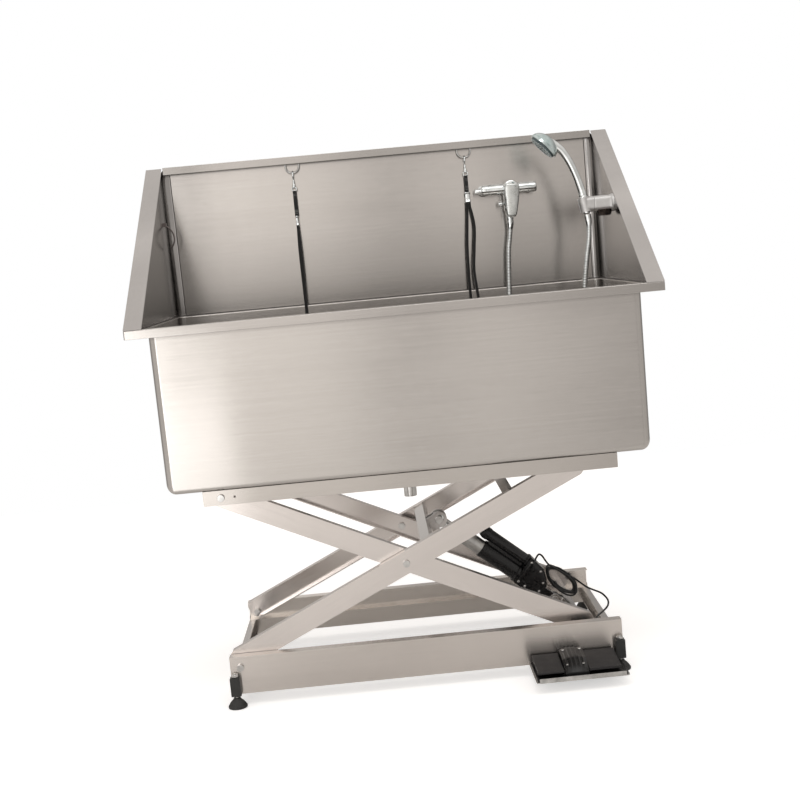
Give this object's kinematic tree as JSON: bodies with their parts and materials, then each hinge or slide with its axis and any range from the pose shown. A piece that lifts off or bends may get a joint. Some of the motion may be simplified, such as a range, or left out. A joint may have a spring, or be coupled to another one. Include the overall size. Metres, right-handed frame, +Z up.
{
  "type": "dog grooming tub",
  "caption": "Stainless dog bath on an electric scissor lift, with splash guards, hand shower, mixer, tie leashes, drain and foot pedals.",
  "frame": {"origin": "on the floor under the middle of the object's outline", "axes": "+Z up, +X to the right along the tub, -Y towards the person who uses the pedals"},
  "size_m": [1.3, 0.775, 1.3763],
  "materials": {
    "sheet": "brushed stainless sheet",
    "frame_steel": "brushed stainless section",
    "fastener": "bright steel",
    "roller": "turned nylon",
    "foot": "black moulded plastic with a steel stud",
    "pedal": "dark grey moulded plastic",
    "pedal_body": "black moulded plastic",
    "cable": "black cable sheath",
    "motor": "satin black paint",
    "ram_tube": "natural anodised tube",
    "ram_rod": "polished rod",
    "mixer": "polished chrome",
    "chromed_plastic": "chrome plated plastic",
    "spray": "grey nozzle plate",
    "strap": "black nylon",
    "hook": "plated steel"
  },
  "bodies": {
    "base": {"base_rail_front": "frame_steel", "base_rail_rear": "frame_steel", "base_cross_members": "frame_steel", "foot_sleeves": "foot", "base_pivot_bolts": "fastener", "pedal_tray": "frame_steel", "pedal_base": "pedal_body", "pedal_cord": "cable"},
    "foot_fl": {"foot_front_left": "foot"},
    "foot_fr": {"foot_front_right": "foot"},
    "foot_rl": {"foot_rear_left": "foot"},
    "foot_rr": {"foot_rear_right": "foot"},
    "pedal_l": {"pedal_left": "pedal"},
    "pedal_r": {"pedal_right": "pedal"},
    "outer_arms": {"outer_arm_front": "frame_steel", "outer_arm_rear": "frame_steel", "outer_cross_tubes": "frame_steel", "centre_bolts": "fastener", "top_roller_axles": "fastener"},
    "top_wheels": {"top_rollers": "roller"},
    "inner_arms": {"inner_arm_front": "frame_steel", "inner_arm_rear": "frame_steel", "inner_cross_tube": "frame_steel", "base_roller_axles": "fastener", "lower_pin": "fastener", "lift_cable": "cable", "cable_hank": "cable"},
    "base_wheels": {"base_rollers": "roller"},
    "actuator": {"actuator_gearbox": "motor", "actuator_motor": "motor", "actuator_tube": "ram_tube"},
    "rod": {"actuator_rod": "ram_rod", "rod_pin": "fastener"},
    "top": {"top_rail_front": "frame_steel", "top_rail_rear": "frame_steel", "top_cross_members": "frame_steel", "top_pivot_bolts": "fastener", "tub_basin": "sheet", "back_guard": "sheet", "left_guard": "sheet", "right_guard": "sheet", "drain_body": "fastener", "tie_rings": "fastener", "wall_unions": "mixer", "mixer_body": "mixer", "holder_base": "chromed_plastic", "shower_hose": "mixer"},
    "strainer": {"drain_strainer": "fastener"},
    "cartridge": {"mixer_cap": "mixer"},
    "lever": {"mixer_lever": "mixer"},
    "diverter": {"diverter_knob": "mixer"},
    "cup": {"holder_cup": "chromed_plastic"},
    "shower": {"hand_shower": "chromed_plastic", "spray_face": "spray"},
    "leash_l": {"leash_hook_left": "hook", "leash_strap_left": "strap", "leash_slider_left": "hook"},
    "leash_r": {"leash_hook_right": "hook", "leash_strap_right": "strap", "leash_slider_right": "hook"}
  },
  "joints": [
    {"name": "lift", "type": "hinge", "parent": "base", "child": "outer_arms", "pos_m": [-0.47, 0.0525, 0.09855], "axis": [0, -1, 0], "range_deg": [-7.8, 9.7]},
    {"name": "scissor", "type": "hinge", "parent": "outer_arms", "child": "inner_arms", "pos_m": [-0.03072, 0.0525, 0.31566], "axis": [0, -1, 0], "range_deg": [-19.6, 15.8]},
    {"name": "top_pivot", "type": "hinge", "parent": "inner_arms", "child": "top", "pos_m": [-0.47, 0.0525, 0.53276], "axis": [0, -1, 0], "range_deg": [-7.9, 9.8]},
    {"name": "actuator_foot", "type": "hinge", "parent": "inner_arms", "child": "actuator", "pos_m": [0.36329, 0.0525, 0.11981], "axis": [0, -1, 0], "range_deg": [-1.9, 1.5]},
    {"name": "rod_slide", "type": "slide", "parent": "actuator", "child": "rod", "axis": [-0.7601, 0, 0.6498], "range_m": [-0.0297, 0.0365]},
    {"name": "top_rollers_spin", "type": "hinge", "parent": "outer_arms", "child": "top_wheels", "pos_m": [0.40856, 0.0525, 0.53276], "axis": [0, 1, 0], "continuous": true},
    {"name": "base_rollers_spin", "type": "hinge", "parent": "inner_arms", "child": "base_wheels", "pos_m": [0.40856, 0.0525, 0.09855], "axis": [0, 1, 0], "continuous": true},
    {"name": "foot_fl_screw", "type": "hinge", "parent": "base", "child": "foot_fl", "pos_m": [-0.4855, -0.2495, 0.02], "axis": [0, 0, 1], "continuous": true},
    {"name": "foot_fr_screw", "type": "hinge", "parent": "base", "child": "foot_fr", "pos_m": [0.4855, -0.2495, 0.02], "axis": [0, 0, 1], "continuous": true},
    {"name": "foot_rl_screw", "type": "hinge", "parent": "base", "child": "foot_rl", "pos_m": [-0.4855, 0.3545, 0.02], "axis": [0, 0, 1], "continuous": true},
    {"name": "foot_rr_screw", "type": "hinge", "parent": "base", "child": "foot_rr", "pos_m": [0.4855, 0.3545, 0.02], "axis": [0, 0, 1], "continuous": true},
    {"name": "pedal_l_press", "type": "hinge", "parent": "base", "child": "pedal_l", "pos_m": [0.294, -0.2535, 0.049], "axis": [1, 0, 0], "range_deg": [0, 3.5], "stiffness_Nm_per_rad": 4, "springref_deg": -8.59},
    {"name": "pedal_r_press", "type": "hinge", "parent": "base", "child": "pedal_r", "pos_m": [0.427, -0.2535, 0.049], "axis": [1, 0, 0], "range_deg": [0, 3.5], "stiffness_Nm_per_rad": 4, "springref_deg": -8.59},
    {"name": "strainer_lift", "type": "slide", "parent": "top", "child": "strainer", "axis": [0, 0, 1], "range_m": [0, 0.06]},
    {"name": "mixer_turn", "type": "hinge", "parent": "top", "child": "cartridge", "pos_m": [0.362, 0.3125, 1.23426], "axis": [0, -1, 0], "range_deg": [-45, 45]},
    {"name": "mixer_tilt", "type": "hinge", "parent": "cartridge", "child": "lever", "pos_m": [0.362, 0.3032, 1.24826], "axis": [-1, 0, 0], "range_deg": [0, 25]},
    {"name": "diverter_turn", "type": "hinge", "parent": "top", "child": "diverter", "pos_m": [0.342, 0.3375, 1.19326], "axis": [-1, 0, 0], "range_deg": [0, 90]},
    {"name": "cup_tilt", "type": "hinge", "parent": "top", "child": "cup", "pos_m": [0.553, 0.0925, 1.16626], "axis": [1, 0, 0], "range_deg": [-15, 15]},
    {"name": "shower_swivel", "type": "hinge", "parent": "cup", "child": "shower", "pos_m": [0.53, 0.0925, 1.16626], "axis": [-0.165, 0, 0.9863], "range_deg": [-60, 60]},
    {"name": "leash_l_swing", "type": "hinge", "parent": "top", "child": "leash_l", "pos_m": [-0.241, 0.372, 1.35026], "axis": [0, -1, 0], "range_deg": [-10, 10]},
    {"name": "leash_r_swing", "type": "hinge", "parent": "top", "child": "leash_r", "pos_m": [0.243, 0.372, 1.35026], "axis": [0, -1, 0], "range_deg": [-10, 5]}
  ],
  "couplings": [
    {"joint": "scissor", "follows": "lift", "ratio": -2},
    {"joint": "top_pivot", "follows": "lift", "ratio": 1},
    {"joint": "actuator_foot", "follows": "lift", "ratio": -0.17937},
    {"joint": "rod_slide", "follows": "lift", "m_per_rad": 0.21326}
  ]
}
